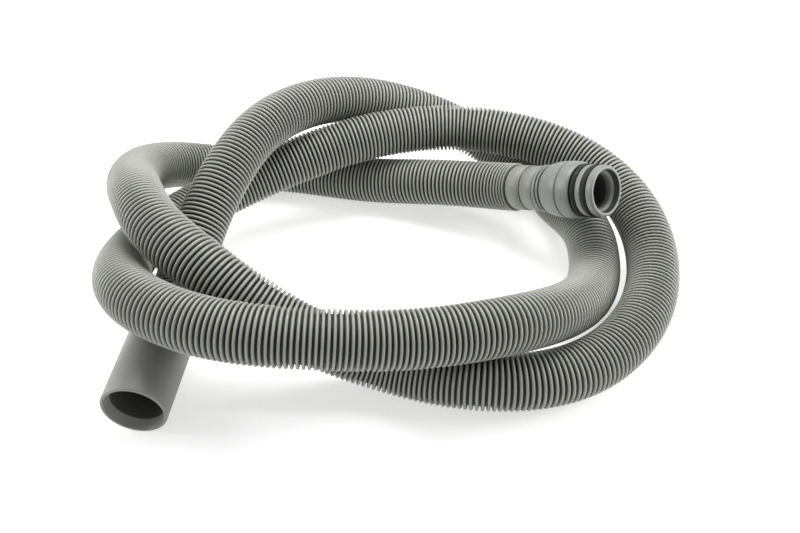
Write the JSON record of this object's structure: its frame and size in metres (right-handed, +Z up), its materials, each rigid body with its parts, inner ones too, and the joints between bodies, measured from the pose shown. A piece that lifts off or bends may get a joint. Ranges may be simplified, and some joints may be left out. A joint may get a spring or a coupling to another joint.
{
  "type": "dishwasher drain hose",
  "caption": "Corrugated drain hose in a loose coil, with a rigid O-ring spigot at its machine end and a smooth push-on cuff at its sink end.",
  "frame": {"origin": "bottom centre of the bounding box of the coiled hose as it lies, on the surface under it", "axes": "+X along the coil's longest extent, with the connector on the +X side; -Y towards the cuff's mouth; +Z up, along the shortest extent"},
  "size_m": [0.28, 0.2278, 0.0716],
  "materials": {
    "hose_plastic": "satin grey blown polypropylene",
    "connector_plastic": "smooth grey moulded plastic",
    "ring_rubber": "black rubber, slightly shiny",
    "cuff_plastic": "satin darker grey plastic"
  },
  "bodies": {
    "root": {"corrugated_hose": "hose_plastic", "machine_connector": "connector_plastic", "rear_o_ring": "ring_rubber", "front_o_ring": "ring_rubber", "sink_cuff": "cuff_plastic"}
  },
  "joints": []
}
